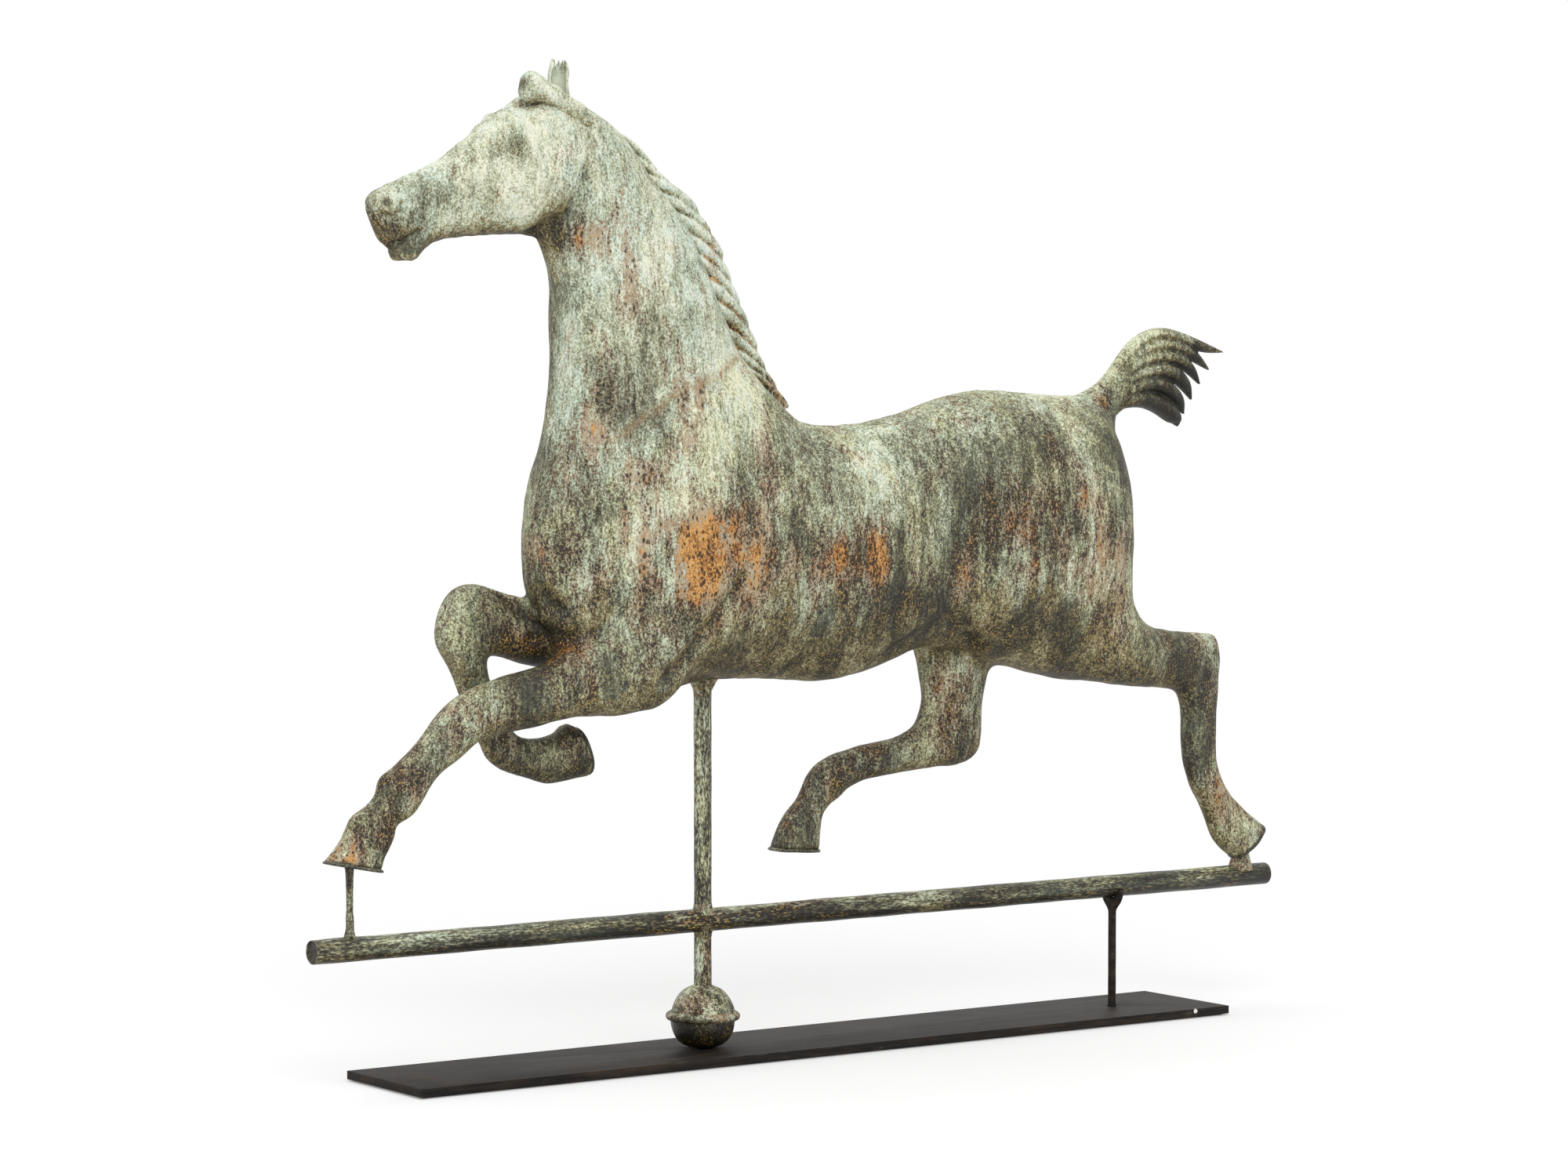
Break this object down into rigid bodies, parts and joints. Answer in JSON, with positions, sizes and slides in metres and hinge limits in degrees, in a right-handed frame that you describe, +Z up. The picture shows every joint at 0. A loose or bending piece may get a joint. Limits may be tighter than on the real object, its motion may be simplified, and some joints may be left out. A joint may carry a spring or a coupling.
{
  "type": "horse weathervane on display stand",
  "caption": "Full-bodied running horse weathervane of moulded sheet copper on a crossbar and ball, lifting off a flat steel display stand with a spindle and a forked post.",
  "frame": {"origin": "on the surface that the stand rests on, under the axis of the mast and the spindle", "axes": "+Z up along the spindle, +X along the crossbar from the horse's head to its tail, -Y out of the horse's left side"},
  "size_m": [0.8509, 0.1016, 0.716],
  "materials": {
    "pale_verdigris": "matte pale green patina",
    "verdigris": "matte streaked green patina",
    "dark_verdigris": "matte dark green patina",
    "brown_copper": "matte brown oxide",
    "dark_copper": "matte dark oxide",
    "solder": "dull grey",
    "black_steel": "satin black",
    "felt": "matte"
  },
  "bodies": {
    "stand": {"base_plate": "black_steel", "base_felt": "felt", "spindle": "black_steel", "spindle_screw": "black_steel", "support_post": "black_steel", "post_screw": "black_steel", "cradle_fork": "black_steel"},
    "weathervane": {"ball_lower": "dark_copper", "ball_upper": "verdigris", "ball_rim_band": "brown_copper", "mast_tube": "dark_verdigris", "mast_plug": "brown_copper", "crossbar_tube": "dark_verdigris", "crossbar_plug_front": "dark_copper", "crossbar_plug_rear": "dark_copper", "crossing_fillet_top": "solder", "crossing_fillet_bottom": "solder", "body_left_shell": "verdigris", "body_right_shell": "verdigris", "neck_left_shell": "pale_verdigris", "neck_right_shell": "pale_verdigris", "mane_left": "pale_verdigris", "mane_right": "pale_verdigris", "tail_left": "verdigris", "tail_right": "verdigris", "ear_left": "pale_verdigris", "ear_right": "pale_verdigris", "near_fore_leg_left": "dark_verdigris", "near_fore_leg_right": "dark_verdigris", "near_fore_hoof_sole": "dark_copper", "far_fore_leg_left": "dark_verdigris", "far_fore_leg_right": "dark_verdigris", "far_fore_hoof_sole": "dark_copper", "far_hind_leg_left": "dark_verdigris", "far_hind_leg_right": "dark_verdigris", "far_hind_hoof_sole": "dark_copper", "near_hind_leg_left": "dark_verdigris", "near_hind_leg_right": "dark_verdigris", "near_hind_hoof_sole": "dark_copper", "front_hoof_rod": "dark_verdigris", "rear_hoof_stub": "solder", "belly_fillet": "solder"}
  },
  "joints": [
    {"name": "lift_off", "type": "slide", "parent": "stand", "child": "weathervane", "axis": [0, 0, 1], "range_m": [0, 0.16]}
  ]
}
